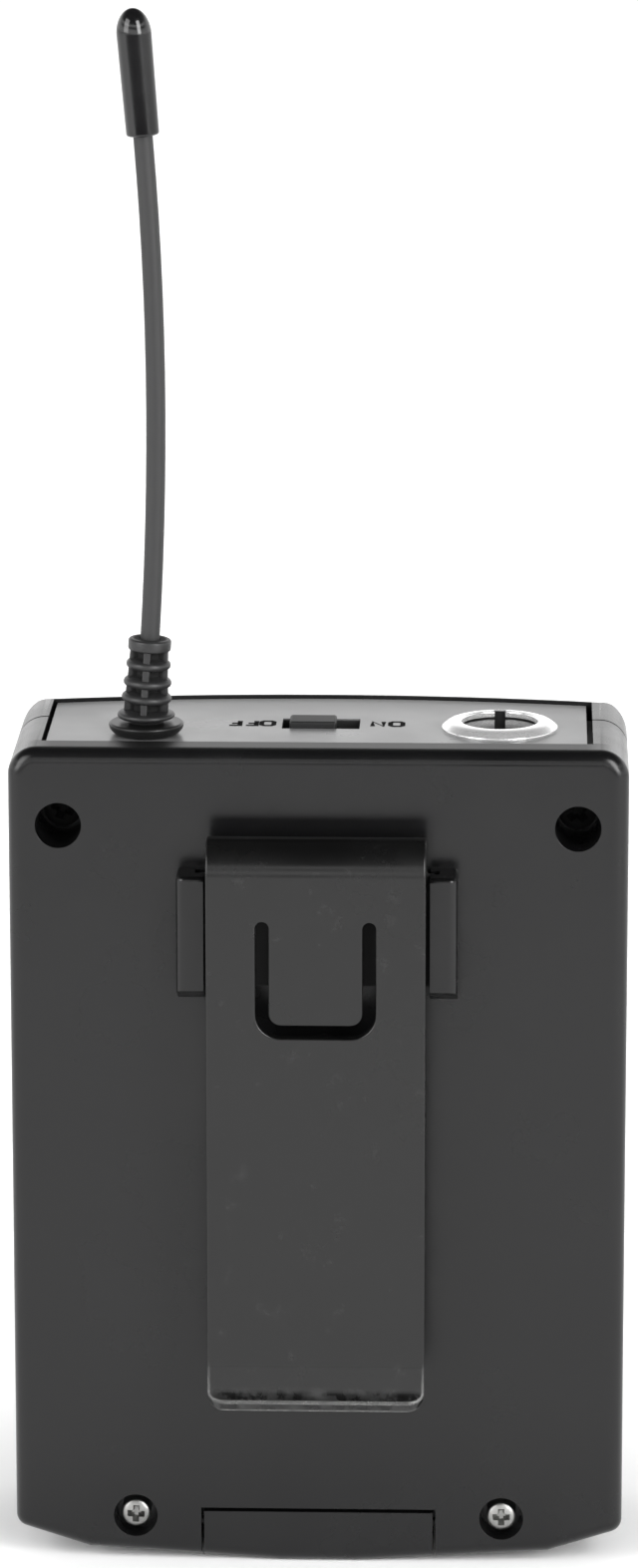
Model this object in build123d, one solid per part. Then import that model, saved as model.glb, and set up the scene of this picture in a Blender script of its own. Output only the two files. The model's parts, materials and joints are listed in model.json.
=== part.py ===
from build123d import *
from math import sin, cos, tan, radians
import os

# Wireless bodypack transmitter: plastic case, steel belt clip, whip antenna.
# Millimetres, +Z up.  Every piece is drawn with the outer back face of the case
# on the plane y = 0 (belt clip towards -Y) and shifted by Y_SHIFT when written.

# ---- case -----------------------------------------------------------------
CASE_W = 65.0            # width at the sides
CASE_H = 89.7            # foot to top face
SIDE_DEPTH = 23.5        # depth of the case at its sides
CROWN_DEPTH = 27.0       # depth on the centre line of the bowed front
WALL = 1.8
PARTING = 15.0           # depth of the seam between back and front mouldings
SEAM_W, SEAM_DEPTH = 0.14, 0.22
EDGE_R = 1.5             # round edge of the back face
FRONT_TOP_R = 0.9        # round edge between the top and the bowed front
TOP_CORNER_R = 3.0
FRONT_CORNER_R = 3.5
FOOT_HALF = 4.0          # flat foot that the case stands on
SLOPE_X, SLOPE_Z = 24.6, 1.3
SKIRT_SLOPE = 0.323      # steeper slope out to the sides

# ---- battery door and its hinge -------------------------------------------
DOOR_TOP = 60.0
DOOR_GAP = 0.25
LEAF_HALF = 12.25
LEAF_TOP = 5.75
LEAF_GAP = 0.3
HINGE_Y, HINGE_Z = 1.4, 4.3
LEAF_SWEEP_R = 2.08      # what the top of the leaf sweeps as it turns
KNUCKLE_R = 1.4
PIN_R = 0.5
TONGUE_TOP = 2.0

# ---- top panel -------------------------------------------------------------
PANEL_X0, PANEL_X1 = -28.75, 28.1
OPENING_X0, OPENING_X1 = -29.15, 28.72
PANEL_BACK = 4.1
PANEL_T = 1.4
PANEL_DROP = 0.4         # the panel lies this far below the rim of the case
PANEL_TOP = CASE_H - PANEL_DROP
PANEL_GAP = 0.15
SLOT_X0, SLOT_X1 = -4.2, 4.05
SLOT_Y0, SLOT_Y1 = 11.8, 16.4
KNOB_W, KNOB_D = 4.8, 3.5
KNOB_Y = 14.1
KNOB_X = -1.0            # switched off
KNOB_PROUD = 0.9
JACK_X, JACK_Y = 18.9, 12.6
JACK_BEZEL_R, JACK_MOUTH_R, JACK_PROUD = 6.15, 4.05, 0.9
JACK_BARREL_R = 5.0
JACK_SHOULDER_R = 3.3    # narrower wall below the mouth
ANT_X, ANT_Y = -18.4, 9.2

# ---- antenna ----------------------------------------------------------------
FLANGE_R, FLANGE_T = 3.98, 1.3
WHIP_R = 1.02
LEAN = 3.6               # lean of the boot, degrees from vertical
PIVOT_H = 3.0            # height of the flexing zone above the top face
FLEX_R, FLEX_HALF = 1.0, 1.2   # barrel that the boot turns on in its root
BOOT_TOP = 10.3
BOW_R1, BOW_R2 = 390.0, 360.0
BOW_TOP_H = 63.4
TIP_LEN = 13.2
TIP_R0, TIP_R1 = 1.72, 1.84

# ---- belt clip --------------------------------------------------------------
CLIP_HALF = 11.43
CLIP_T = 1.3
STANDOFF = 8.0           # back face to the outer face of the leg
ANCHOR_IN = 1.0          # back face to the inner face of the anchor leg
FOLD_Z = 78.0
LIP_Z, LIP_R, LIP_ANGLE = 25.0, 3.7, 70.0
EAR_IN, EAR_OUT = 11.8, 14.7
EAR_TOP, EAR_FOOT, EAR_ROOT = 77.15, 64.9, 63.0
EAR_PROUD = 4.5
EAR_EDGE_R = 0.45

# ---- case screws ------------------------------------------------------------
UP_X, UP_Z, UP_R = 27.2, 81.5, 2.43
LOW_X, LOW_Z, LOW_R = 19.6, 5.2, 2.35
LOW_HEAD_Y, LOW_HEAD_T = 0.5, 3.05   # tall heads, nearly flush with the back face

LIP_PROUD = STANDOFF + LIP_R * (1 - cos(radians(LIP_ANGLE)))
Y_SHIFT = -(CROWN_DEPTH - LIP_PROUD) / 2


def block(x0, x1, y0, y1, z0, z1):
    return Pos((x0 + x1) / 2, (y0 + y1) / 2, (z0 + z1) / 2) * Box(x1 - x0, y1 - y0, z1 - z0)


def rod_y(x, z, r, y0, y1):
    return Pos(x, (y0 + y1) / 2, z) * Rot(90, 0, 0) * Cylinder(r, y1 - y0)


def rod_z(x, y, r, z0, z1):
    return Pos(x, y, (z0 + z1) / 2) * Cylinder(r, z1 - z0)


def rod_x(y, z, r, x0, x1):
    return Pos((x0 + x1) / 2, y, z) * Rot(0, 90, 0) * Cylinder(r, x1 - x0)


def slab(sketch, y0, y1):
    """An outline drawn as (x, z) made solid between two depths."""
    return Pos(0, y1, 0) * Rot(90, 0, 0) * extrude(sketch, y1 - y0)


def outline(inset):
    """Case outline seen from the back."""
    skirt_z = SLOPE_Z + (CASE_W / 2 - SLOPE_X) * SKIRT_SLOPE
    half = [(FOOT_HALF, 0), (SLOPE_X, SLOPE_Z), (CASE_W / 2, skirt_z), (CASE_W / 2, CASE_H)]
    points = half + [(-x, z) for x, z in reversed(half)]
    face = make_face(Polyline(*points, close=True))
    tops = [v for v in face.vertices() if v.Y > CASE_H - 1]
    face = fillet(tops, TOP_CORNER_R)
    feet = [v for v in face.vertices() if abs(v.Y - skirt_z) < 0.1]
    face = fillet(feet, 1.5)
    return offset(face, -inset) if inset else face


def plan(inset):
    """Case seen from above: flat back, bowed front."""
    w = CASE_W / 2 - inset
    back = Line((-w, inset), (w, inset))
    right = Line((w, inset), (w, SIDE_DEPTH - inset))
    bow = ThreePointArc((w, SIDE_DEPTH - inset), (0, CROWN_DEPTH - inset), (-w, SIDE_DEPTH - inset))
    left = Line((-w, SIDE_DEPTH - inset), (-w, inset))
    face = make_face([back, right, bow, left])
    corners = [v for v in face.vertices() if v.Y > PARTING]
    return fillet(corners, FRONT_CORNER_R - inset * 0.6)


def case_solid(inset):
    return slab(outline(inset), inset, 40) & extrude(plan(inset), CASE_H + 5)


def sector(cy, cz, r_in, r_out, a0, a1):
    """Ring sector in the YZ plane."""
    far = CenterArc((cy, cz), r_out, a0, a1 - a0)
    near = CenterArc((cy, cz), r_in, a0, a1 - a0)
    return make_face([far, Line(far @ 1, near @ 1), near, Line(near @ 0, far @ 0)])


def across(face, half):
    """A YZ face made solid across the width."""
    return extrude(Plane.YZ * face, half, both=True)


def hexagon(x, y, across_flats, z0, z1, turn=30):
    prism = extrude(RegularPolygon(across_flats / 2, 6, major_radius=False), z1 - z0)
    return Pos(x, y, z0) * Rot(0, 0, turn) * prism


# ---------------------------------------------------------------- case mouldings
outer = case_solid(0)
back_rim = outer.edges().filter_by_position(Axis.Y, -0.01, 0.01)
outer = fillet(back_rim, EDGE_R)
bow_r = ((CASE_W / 2) ** 2 + (CROWN_DEPTH - SIDE_DEPTH) ** 2) / 2 / (CROWN_DEPTH - SIDE_DEPTH)
round_r, round_z = bow_r - FRONT_TOP_R, CASE_H - FRONT_TOP_R
round_off = make_face(Polyline((round_r, round_z), (bow_r + 2, round_z), (bow_r + 2, CASE_H + 1),
                               (round_r, CASE_H + 1), close=True))
round_off -= Pos(round_r, round_z) * Circle(FRONT_TOP_R)
outer -= Pos(0, CROWN_DEPTH - bow_r, 0) * revolve(Plane.XZ * round_off, Axis.Z)
inner = case_solid(WALL)
skin = outer - inner
front_arc_y = CROWN_DEPTH - 1.2
panel_bow = (CASE_W / 2) ** 2 / 2 / (CROWN_DEPTH - SIDE_DEPTH)


def panel_outline(x0, x1, grow):
    """Straight back and ends, and a far edge that follows the bowed front."""
    near = PANEL_BACK - grow
    far0 = front_arc_y - x0 ** 2 / 2 / panel_bow + grow
    far1 = front_arc_y - x1 ** 2 / 2 / panel_bow + grow
    return make_face([
        Line((x0, near), (x1, near)),
        Line((x1, near), (x1, far1)),
        ThreePointArc((x1, far1), (0, front_arc_y + grow), (x0, far0)),
        Line((x0, far0), (x0, near)),
    ])


opening_outline = panel_outline(OPENING_X0, OPENING_X1, PANEL_GAP)
panel_opening = Pos(0, 0, CASE_H - WALL - 1) * extrude(opening_outline, 5)

back_shell = skin & block(-40, 40, -5, PARTING, -5, 95)
back_shell -= panel_opening
for side in (-1, 1):
    back_shell += rod_y(side * UP_X, UP_Z, 3.3, 1.0, 11.0)
    back_shell += rod_y(side * LOW_X, LOW_Z, 3.0, 1.0, 4.8) & inner
    for boss_z in (14.0, 70.0):
        back_shell += rod_y(side * 26, boss_z, 2.0, 1.0, 3.0)
        back_shell -= rod_y(side * 26, boss_z, 0.62, 1.2, 5)
    pin_boss_x0, pin_boss_x1 = sorted((side * 12.75, side * 15.5))
    back_shell += block(pin_boss_x0, pin_boss_x1, 0.6, 3.4, 2.4, 7.2)
# opening for the hinge leaf and the tongue under the case
half_open = LEAF_HALF + LEAF_GAP
back_shell -= block(-half_open, half_open, -1, 20, -1, 3.0)
back_shell -= block(-half_open, half_open, -1, 2.0, -1, LEAF_TOP + 0.4)
back_shell -= rod_x(HINGE_Y, HINGE_Z, LEAF_SWEEP_R, -half_open, half_open)
back_shell -= rod_x(HINGE_Y, HINGE_Z, PIN_R + 0.02, -14.6, 14.6)
for side in (-1, 1):
    back_shell -= rod_y(side * UP_X, UP_Z, UP_R, -1, 9.2)
    back_shell -= rod_y(side * UP_X, UP_Z, 1.15, 5, 12)
    back_shell -= rod_y(side * LOW_X, LOW_Z, LOW_R, -1, 3.6)
    back_shell -= rod_y(side * LOW_X, LOW_Z, 1.15, 1, 6)

# ears that hold the anchor leg of the belt clip
ear_side = make_face(Polyline(
    (0.5, EAR_TOP), (-EAR_PROUD, EAR_TOP), (-EAR_PROUD, EAR_FOOT), (0, EAR_ROOT), (0.5, EAR_ROOT),
    close=True))
ear = Pos(EAR_IN, 0, 0) * extrude(Plane.YZ * ear_side, EAR_OUT - EAR_IN)
ear_outer_edge = [e for e in ear.edges().filter_by(Axis.Z)
                  if e.center().X > EAR_OUT - 0.01 and e.center().Y < -EAR_PROUD + 0.01]
ear = fillet(ear_outer_edge, 0.9)
ear_top_edge = [e for e in ear.edges() if e.center().Z > EAR_TOP - 0.01 and e.center().Y < -2.5]
ear = fillet(ear_top_edge, EAR_EDGE_R)
ear -= block(EAR_IN - 1, 12.75, -2.45, -0.85, EAR_FOOT - 0.1, EAR_TOP + 1)
back_shell += ear
back_shell += mirror(ear, Plane.YZ)
catch_side = make_face(Polyline((0.5, 69.4), (-1.9, 69.4), (-1.9, 70.4), (0, 72.0), (0.5, 72.0), close=True))
back_shell += across(catch_side, 2.2)

# ---------------------------------------------------------------- front moulding with the battery bay
front_shell = skin & block(-40, 40, PARTING + 0.05, 40, DOOR_TOP + DOOR_GAP, 95)
front_shell -= panel_opening
front_shell += inner & block(-40, 40, 4.9, 40, DOOR_TOP + DOOR_GAP, DOOR_TOP + 1.5)
front_shell += block(-17, 17, 4.9, 5.9, 3.4, DOOR_TOP + 1)
front_shell += block(-17, 17, 4.9, 19.5, 3.4, 4.4)
front_shell += block(-17, 17, 4.9, 19.5, 58.0, DOOR_TOP + 1)
for side in (-1, 1):
    wall_x0, wall_x1 = sorted((side * 15.8, side * 17.0))
    front_shell += block(wall_x0, wall_x1, 4.9, 19.5, 3.4, DOOR_TOP + 1)
    front_shell += rod_y(side * LOW_X, LOW_Z + 0.5, 2.7, 4.9, 12.0)
    front_shell -= rod_y(side * LOW_X, LOW_Z, 1.02, 4, 11)
    front_shell += rod_y(side * UP_X, UP_Z, 3.0, 11.05, 23.2)
    front_shell -= rod_y(side * UP_X, UP_Z, 1.02, 10, 19)
light_x, light_z = 0.0, 72.0
front_shell -= rod_y(light_x, light_z, 1.45, 18, 30)

# ---------------------------------------------------------------- battery door
battery_door = skin & block(-40, 40, PARTING + DOOR_GAP, 40, -5, DOOR_TOP)
battery_door += outer & block(-LEAF_HALF, LEAF_HALF, -1, PARTING + 1, -1, TONGUE_TOP)
battery_door += outer & block(-LEAF_HALF, LEAF_HALF, -1, HINGE_Y, -1, LEAF_TOP)
battery_door += rod_x(HINGE_Y, HINGE_Z, KNUCKLE_R, -LEAF_HALF, LEAF_HALF)
battery_door -= rod_x(HINGE_Y, HINGE_Z, PIN_R + 0.25, -20, 20)
for side in (-1, 1):
    for tab_z in (13.0, 44.0):
        web_x0, web_x1 = sorted((side * 29.4, side * 31.0))
        tab_x0, tab_x1 = sorted((side * 29.4, side * 30.4))
        battery_door += block(web_x0, web_x1, PARTING + 0.4, 18, tab_z, tab_z + 6)
        battery_door += block(tab_x0, tab_x1, 12.8, 17, tab_z, tab_z + 6)
for i in range(5):
    battery_door -= block(-8, 8, CROWN_DEPTH - 0.5, 30, 51.0 + 1.5 * i, 51.7 + 1.5 * i)

door_pad = case_solid(WALL + 0.04) & block(-9, 9, 21.5, 30, 20, 45)
hinge_pin = rod_x(HINGE_Y, HINGE_Z, PIN_R, -14.5, 14.5)

# shadow line along the seam between the mouldings
seam_ring = case_solid(0) - case_solid(SEAM_DEPTH)
back_shell -= seam_ring & block(-40, 40, PARTING - SEAM_W, PARTING + 0.02, -5, 95)
front_shell -= seam_ring & block(-40, 40, PARTING, PARTING + 0.05 + SEAM_W, DOOR_TOP, 95)

# ---------------------------------------------------------------- top panel
top_panel = Pos(0, 0, PANEL_TOP - PANEL_T) * extrude(panel_outline(PANEL_X0, PANEL_X1, 0), PANEL_T)
lip = extrude(panel_outline(PANEL_X0 - 1, PANEL_X1 + 1, 1.0), 1.1)
lip -= extrude(panel_outline(PANEL_X0 + 0.6, PANEL_X1 - 0.6, -0.6), 1.1)
top_panel += Pos(0, 0, PANEL_TOP - PANEL_T - 1.1) * lip & extrude(plan(WALL + 0.04), CASE_H + 5)
top_panel -= block(SLOT_X0, SLOT_X1, SLOT_Y0, SLOT_Y1, 80, 95)
top_panel -= rod_z(JACK_X, JACK_Y, JACK_BARREL_R + 0.05, 80, 95)
top_panel -= rod_z(ANT_X, ANT_Y, 2.05, 80, 95)

# ---------------------------------------------------------------- power switch
knob_y0, knob_y1 = KNOB_Y - KNOB_D / 2, KNOB_Y + KNOB_D / 2
switch_knob = block(KNOB_X - KNOB_W / 2, KNOB_X + KNOB_W / 2, knob_y0, knob_y1, 84.8, PANEL_TOP + KNOB_PROUD)
switch_knob = chamfer(switch_knob.edges().group_by(Axis.Z)[-1], 0.25)
switch_body = block(-5.6, 5.5, 4.2, 17.4, 81.8, 86.7) + block(-5.6, 5.5, 4.8, 17.4, 86.6, 87.4)
switch_body -= block(-4.5, 4.35, knob_y0 - 0.3, knob_y1 + 0.3, 84.5, 88)

# ---------------------------------------------------------------- microphone socket
mouth_foot = PANEL_TOP + JACK_PROUD - 4.1
bezel_profile = make_face(Polyline(
    (JACK_SHOULDER_R, PANEL_TOP - 7.0), (JACK_BARREL_R, PANEL_TOP - 7.0), (JACK_BARREL_R, PANEL_TOP),
    (JACK_BEZEL_R, PANEL_TOP), (JACK_BEZEL_R, PANEL_TOP + 0.25), (JACK_MOUTH_R + 0.9, PANEL_TOP + JACK_PROUD),
    (JACK_MOUTH_R, PANEL_TOP + JACK_PROUD), (JACK_MOUTH_R, mouth_foot), (JACK_SHOULDER_R, mouth_foot),
    close=True))
socket_shell = Pos(JACK_X, JACK_Y, 0) * revolve(Plane.XZ * bezel_profile, Axis.Z)
socket_shell -= block(JACK_X - 0.575, JACK_X + 0.575, JACK_Y, JACK_Y + JACK_MOUTH_R + 0.55, PANEL_TOP - 5, 95)
socket_nut = hexagon(JACK_X, JACK_Y, 12.8, 85.4, 87.85, 0) - rod_z(JACK_X, JACK_Y, JACK_BARREL_R + 0.02, 80, 95)
socket_insert = rod_z(JACK_X, JACK_Y, JACK_SHOULDER_R - 0.02, 76.0, 83.6)
socket_pins = []
for i in range(4):
    pin_x = JACK_X + 2.0 * cos(radians(45 + 90 * i))
    pin_y = JACK_Y + 2.0 * sin(radians(45 + 90 * i))
    socket_insert -= rod_z(pin_x, pin_y, 0.5, 70, 95)
    socket_pins.append(fillet(rod_z(pin_x, pin_y, 0.48, 72.5, mouth_foot - 0.2).edges().group_by(Axis.Z)[-1], 0.3))

# ---------------------------------------------------------------- antenna
antenna_base = rod_z(ANT_X, ANT_Y, FLANGE_R, PANEL_TOP, PANEL_TOP + FLANGE_T)
antenna_base = chamfer(antenna_base.edges().group_by(Axis.Z)[0], 0.3)
antenna_base = fillet(antenna_base.edges().group_by(Axis.Z)[-1], 0.25)
antenna_base -= rod_z(ANT_X, ANT_Y, 2.05, 80, 95)
antenna_stub = rod_z(ANT_X, ANT_Y, 2.0, 84.4, PANEL_TOP + FLANGE_T)
antenna_nut = hexagon(ANT_X, ANT_Y, 7.0, 86.0, 87.85, 0) - rod_z(ANT_X, ANT_Y, 2.02, 80, 95)
antenna_lug = block(ANT_X - 1.5, ANT_X + 1.5, 4.1, ANT_Y + 1.5, 83.9, 84.35)
antenna_lug += block(ANT_X - 1.5, ANT_X + 1.5, 4.1, 4.6, 80.5, 84.35)

root_low = PANEL_TOP + FLANGE_T + 0.02
antenna_boot_root = rod_z(ANT_X, ANT_Y, 2.0, root_low, PANEL_TOP + 2.4)
antenna_boot_root += rod_z(ANT_X, ANT_Y, 3.02, PANEL_TOP + 1.58, PANEL_TOP + 2.34)
antenna_boot_root = fillet(antenna_boot_root.edges().filter_by(GeomType.CIRCLE).sort_by(SortBy.RADIUS)[-2:], 0.3)
knuckle_seat = Rot(90, 0, 0) * Cylinder(FLEX_R + 0.05, 2 * FLEX_HALF + 0.1)
antenna_boot_root -= Pos(ANT_X, ANT_Y, PANEL_TOP + PIVOT_H) * knuckle_seat

# the flexing part is drawn upright on the pivot and leaned over afterwards
lean_joint = Pos(ANT_X, ANT_Y, PANEL_TOP + PIVOT_H) * Rot(0, LEAN, 0)
boot_len = BOOT_TOP - PIVOT_H
boot = Pos(0, 0, (0.55 + boot_len) / 2) * Cone(1.75, 1.45, boot_len - 0.55)
for ring_h, ring_r in ((4.07, 2.65), (5.74, 2.54), (7.67, 2.36)):
    ring = rod_z(0, 0, ring_r, ring_h - PIVOT_H - 0.38, ring_h - PIVOT_H + 0.38)
    boot += fillet(ring.edges().filter_by(GeomType.CIRCLE), 0.3)
top_ring = rod_z(0, 0, 2.2, boot_len - 1.25, boot_len)
boot += fillet(top_ring.edges().filter_by(GeomType.CIRCLE), 0.35)
for turn in (0, 90, 180, 270):
    web = Rot(0, 0, turn) * block(1.2, 2.0, -0.42, 0.42, 0.75, boot_len - 0.5)
    boot += web
boot += Rot(90, 0, 0) * Cylinder(FLEX_R, 2 * FLEX_HALF)
boot -= rod_z(0, 0, WHIP_R + 0.02, 0.68, 20)
antenna_boot = lean_joint * boot

pivot = Vector(ANT_X, ANT_Y, PANEL_TOP + PIVOT_H)
lean_dir = Vector(sin(radians(LEAN)), 0, cos(radians(LEAN)))
wire_start = pivot + lean_dir * 0.7
bow_start = pivot + lean_dir * (BOOT_TOP - PIVOT_H)
bow_centre = bow_start + Vector(-cos(radians(LEAN)), 0, sin(radians(LEAN))) * BOW_R1
apex = bow_centre + Vector(BOW_R1, 0, 0)
upper_centre = apex + Vector(-BOW_R2, 0, 0)


def on_arc(centre, radius, tilt):
    return centre + Vector(radius * cos(radians(tilt)), 0, radius * sin(radians(tilt)))


end_tilt = 4.58
bow_end = on_arc(upper_centre, BOW_R2, end_tilt)
tip_dir = Vector(-sin(radians(end_tilt)), 0, cos(radians(end_tilt)))
wire_end = bow_end + tip_dir * 9.0
path = Wire([
    Edge.make_line(wire_start, bow_start),
    Edge.make_three_point_arc(bow_start, on_arc(bow_centre, BOW_R1, -LEAN / 2), apex),
    Edge.make_three_point_arc(apex, on_arc(upper_centre, BOW_R2, end_tilt / 2), bow_end),
    Edge.make_line(bow_end, wire_end),
])
antenna_wire = sweep(Plane(origin=wire_start, z_dir=lean_dir) * Circle(WHIP_R), path)

tip = Pos(0, 0, TIP_LEN / 2) * Cone(TIP_R0, TIP_R1, TIP_LEN)
tip = fillet(tip.edges().group_by(Axis.Z)[-1], TIP_R1 - 0.04)
tip = fillet(tip.edges().group_by(Axis.Z)[0], 0.25)
tip -= rod_z(0, 0, WHIP_R + 0.02, -1, 9.1)
antenna_tip = Pos(bow_end) * Rot(0, -end_tilt, 0) * tip

# ---------------------------------------------------------------- belt clip
fold_y = -(ANCHOR_IN + STANDOFF) / 2
fold_out = (STANDOFF - ANCHOR_IN) / 2
leg_face = sector(fold_y, FOLD_Z, fold_out - CLIP_T, fold_out, 27, 180)
clip_leg = across(leg_face, CLIP_HALF)
clip_leg += block(-CLIP_HALF, CLIP_HALF, -STANDOFF, CLIP_T - STANDOFF, LIP_Z, FOLD_Z)
clip_leg += across(sector(-STANDOFF - LIP_R, LIP_Z, LIP_R, LIP_R + CLIP_T, -LIP_ANGLE, 0), CLIP_HALF)
lip_z0 = LIP_Z - LIP_R - CLIP_T + 0.30
leg_outline = Pos(0, lip_z0 + 40) * RectangleRounded(2 * CLIP_HALF, 80, 1.8)
clip_leg = clip_leg & slab(leg_outline, -20, 5)


def u_loop(half, foot, top, corner):
    frame = Pos(0, (foot + top + 20) / 2) * RectangleRounded(2 * half, top + 20 - foot, corner)
    return frame & Pos(0, (foot + top) / 2 - 5) * Rectangle(40, top - foot + 10)


u_slot = u_loop(6.25, 60.8, 72.6, 2.6) - u_loop(4.9, 62.15, 72.7, 1.3)
u_ends = [Pos(side * 5.575, 72.6) * Circle(0.675) for side in (-1, 1)]
clip_leg -= slab(u_slot + u_ends, -STANDOFF - 1, -STANDOFF + 2)

clip_anchor = across(sector(fold_y, FOLD_Z, fold_out - CLIP_T, fold_out, 0, 12), CLIP_HALF)
clip_anchor += block(-CLIP_HALF, CLIP_HALF, -ANCHOR_IN - CLIP_T, -ANCHOR_IN, EAR_FOOT, FOLD_Z)
clip_anchor += block(-12.5, 12.5, -ANCHOR_IN - CLIP_T, -ANCHOR_IN, EAR_FOOT, 76.9)
clip_anchor -= block(-2.6, 2.6, -4, 0.5, 69.2, 73.0)

# ---------------------------------------------------------------- circuit board and its parts
main_pcb = block(-29, 29, 3.05, 4.05, 10, 77) + block(-23, 23, 3.05, 4.05, 70, 83.4)
for side in (-1, 1):
    for boss_z in (14.0, 70.0):
        main_pcb -= rod_y(side * 26, boss_z, 0.7, 0, 10)
rf_shield = block(-24, -5, 4.1, 8.0, 64, 79) - block(-23.7, -5.3, 4.0, 7.7, 64.3, 78.7)
pcb_chips = [block(5, 13, 4.1, 5.3, 63.5, 71.5), block(-3.0, 2.0, 4.1, 5.2, 64.0, 69.0)]
pcb_capacitors = [rod_y(x, 65.6, 2.5, 4.1, 9.6) for x in (17.5, 23.2)]
status_led = block(light_x - 1.0, light_x + 1.0, 4.1, 5.1, light_z - 0.7, light_z + 0.7)
light_pipe = rod_y(light_x, light_z, 1.4, 5.2, CROWN_DEPTH)

# ---------------------------------------------------------------- screws


def screw(head_r, head_t, shank_r, length, turn):
    """Cross-head screw with its head at the origin, pointing along +Y."""
    body = rod_y(0, 0, head_r, 0, head_t)
    body = fillet(body.edges().filter_by(GeomType.CIRCLE).sort_by(Axis.Y)[0], 0.35)
    body += rod_y(0, 0, shank_r, head_t - 0.1, length)
    for angle in (turn, turn + 90):
        body -= Rot(0, angle, 0) * Box(head_r * 1.3, 1.9, 0.5)
    return body


case_screws_upper = [Pos(side * UP_X, 7.5, UP_Z) * screw(2.1, 1.65, 1.0, 10.0, 0) for side in (-1, 1)]
case_screws_lower = [Pos(side * LOW_X, LOW_HEAD_Y, LOW_Z) * screw(1.55, LOW_HEAD_T, 1.0, 9.5, 0)
                     for side in (-1, 1)]
pcb_screws = [Pos(side * 26, 4.75, z) * Rot(0, 0, 180) * screw(1.3, 0.65, 0.6, 3.0, 0)
              for side in (-1, 1) for z in (14.0, 70.0)]

# ---------------------------------------------------------------- batteries and contacts
CELL_Y, CELL_R, CELL_X = 13.4, 7.1, 7.35


def cell(x, z0, z1, nub_up):
    body = rod_z(x, CELL_Y, CELL_R, z0, z1)
    body = fillet(body.edges().filter_by(GeomType.CIRCLE), 0.5)
    nub = (z1, z1 + 1.4) if nub_up else (z0 - 1.4, z0)
    return body + rod_z(x, CELL_Y, 2.7, nub[0] - 0.05 * nub_up, nub[1] + 0.05 * (not nub_up))


battery_cells = [cell(-CELL_X, 6.9, 56.1, True), cell(CELL_X, 6.3, 55.5, False)]


def bow_spring(x, z_foot, rise):
    """Bowed leaf that presses on the flat end of a cell."""
    under = ThreePointArc((-4, 0), (0, rise), (4, 0))
    over = ThreePointArc((-4, 0.3 if rise > 0 else -0.3), (0, rise * 1.2), (4, 0.3 if rise > 0 else -0.3))
    leaf = make_face([under, Line(under @ 1, over @ 1), over, Line(under @ 0, over @ 0)])
    return Pos(x, CELL_Y, z_foot) * extrude(Plane.XZ * leaf, 2.5, both=True)


contact_springs = [bow_spring(-CELL_X, 4.84, 1.6), bow_spring(CELL_X, 57.54, -1.6)]
contact_plates = [
    block(-12.5, 12.5, 9.9, 16.9, 4.42, 4.82),
    block(-12.5, -2.5, 9.9, 16.9, 57.56, 57.98),
    block(2.5, 12.5, 9.9, 16.9, 57.56, 57.98),
]

# ---------------------------------------------------------------- write the pieces
nodes = {
    "back_shell": back_shell, "front_shell": front_shell, "battery_door": battery_door,
    "door_pad": door_pad, "hinge_pin": hinge_pin, "top_panel": top_panel,
    "switch_knob": switch_knob, "switch_body": switch_body,
    "socket_shell": socket_shell, "socket_nut": socket_nut, "socket_insert": socket_insert,
    "socket_pins": socket_pins,
    "antenna_base": antenna_base, "antenna_stub": antenna_stub, "antenna_nut": antenna_nut,
    "antenna_lug": antenna_lug, "antenna_boot_root": antenna_boot_root,
    "antenna_boot": antenna_boot, "antenna_wire": antenna_wire, "antenna_tip": antenna_tip,
    "clip_leg": clip_leg, "clip_anchor": clip_anchor,
    "main_pcb": main_pcb, "rf_shield": rf_shield, "pcb_chips": pcb_chips,
    "pcb_capacitors": pcb_capacitors, "status_led": status_led, "light_pipe": light_pipe,
    "case_screws_upper": case_screws_upper, "case_screws_lower": case_screws_lower,
    "pcb_screws": pcb_screws, "battery_cells": battery_cells,
    "contact_springs": contact_springs, "contact_plates": contact_plates,
}
os.makedirs("parts", exist_ok=True)
for name, shape in nodes.items():
    if isinstance(shape, list):
        solids = [s for piece in shape for s in piece.solids()]
    else:
        solids = shape.solids()
    placed = [s.moved(Location((0, Y_SHIFT, 0))) for s in solids]
    export_step(placed[0] if len(placed) == 1 else Compound(children=placed), f"parts/{name}.step")
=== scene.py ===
import json
import math

import bmesh
import bpy
from mathutils import Matrix, Vector
from mathutils.geometry import tessellate_polygon


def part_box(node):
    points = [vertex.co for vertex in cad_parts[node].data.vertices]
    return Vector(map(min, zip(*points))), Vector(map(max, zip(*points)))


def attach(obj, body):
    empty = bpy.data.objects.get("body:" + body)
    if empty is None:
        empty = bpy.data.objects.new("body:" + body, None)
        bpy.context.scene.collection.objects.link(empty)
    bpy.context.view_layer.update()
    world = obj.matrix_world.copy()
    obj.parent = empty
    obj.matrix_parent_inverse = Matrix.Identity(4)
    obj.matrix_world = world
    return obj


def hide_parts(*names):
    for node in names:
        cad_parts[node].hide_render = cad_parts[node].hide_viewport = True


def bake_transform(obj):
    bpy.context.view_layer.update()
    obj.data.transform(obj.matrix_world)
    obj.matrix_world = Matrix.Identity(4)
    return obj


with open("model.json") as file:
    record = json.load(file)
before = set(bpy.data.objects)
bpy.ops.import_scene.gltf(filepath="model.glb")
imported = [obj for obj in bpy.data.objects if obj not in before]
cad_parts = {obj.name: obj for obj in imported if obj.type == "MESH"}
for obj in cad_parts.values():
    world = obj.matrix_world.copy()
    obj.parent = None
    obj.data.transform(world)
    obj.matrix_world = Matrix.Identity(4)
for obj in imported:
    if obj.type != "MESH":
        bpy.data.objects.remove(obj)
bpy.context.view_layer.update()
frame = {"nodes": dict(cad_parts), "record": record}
NODES = frame["nodes"]
MM = 0.001

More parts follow.
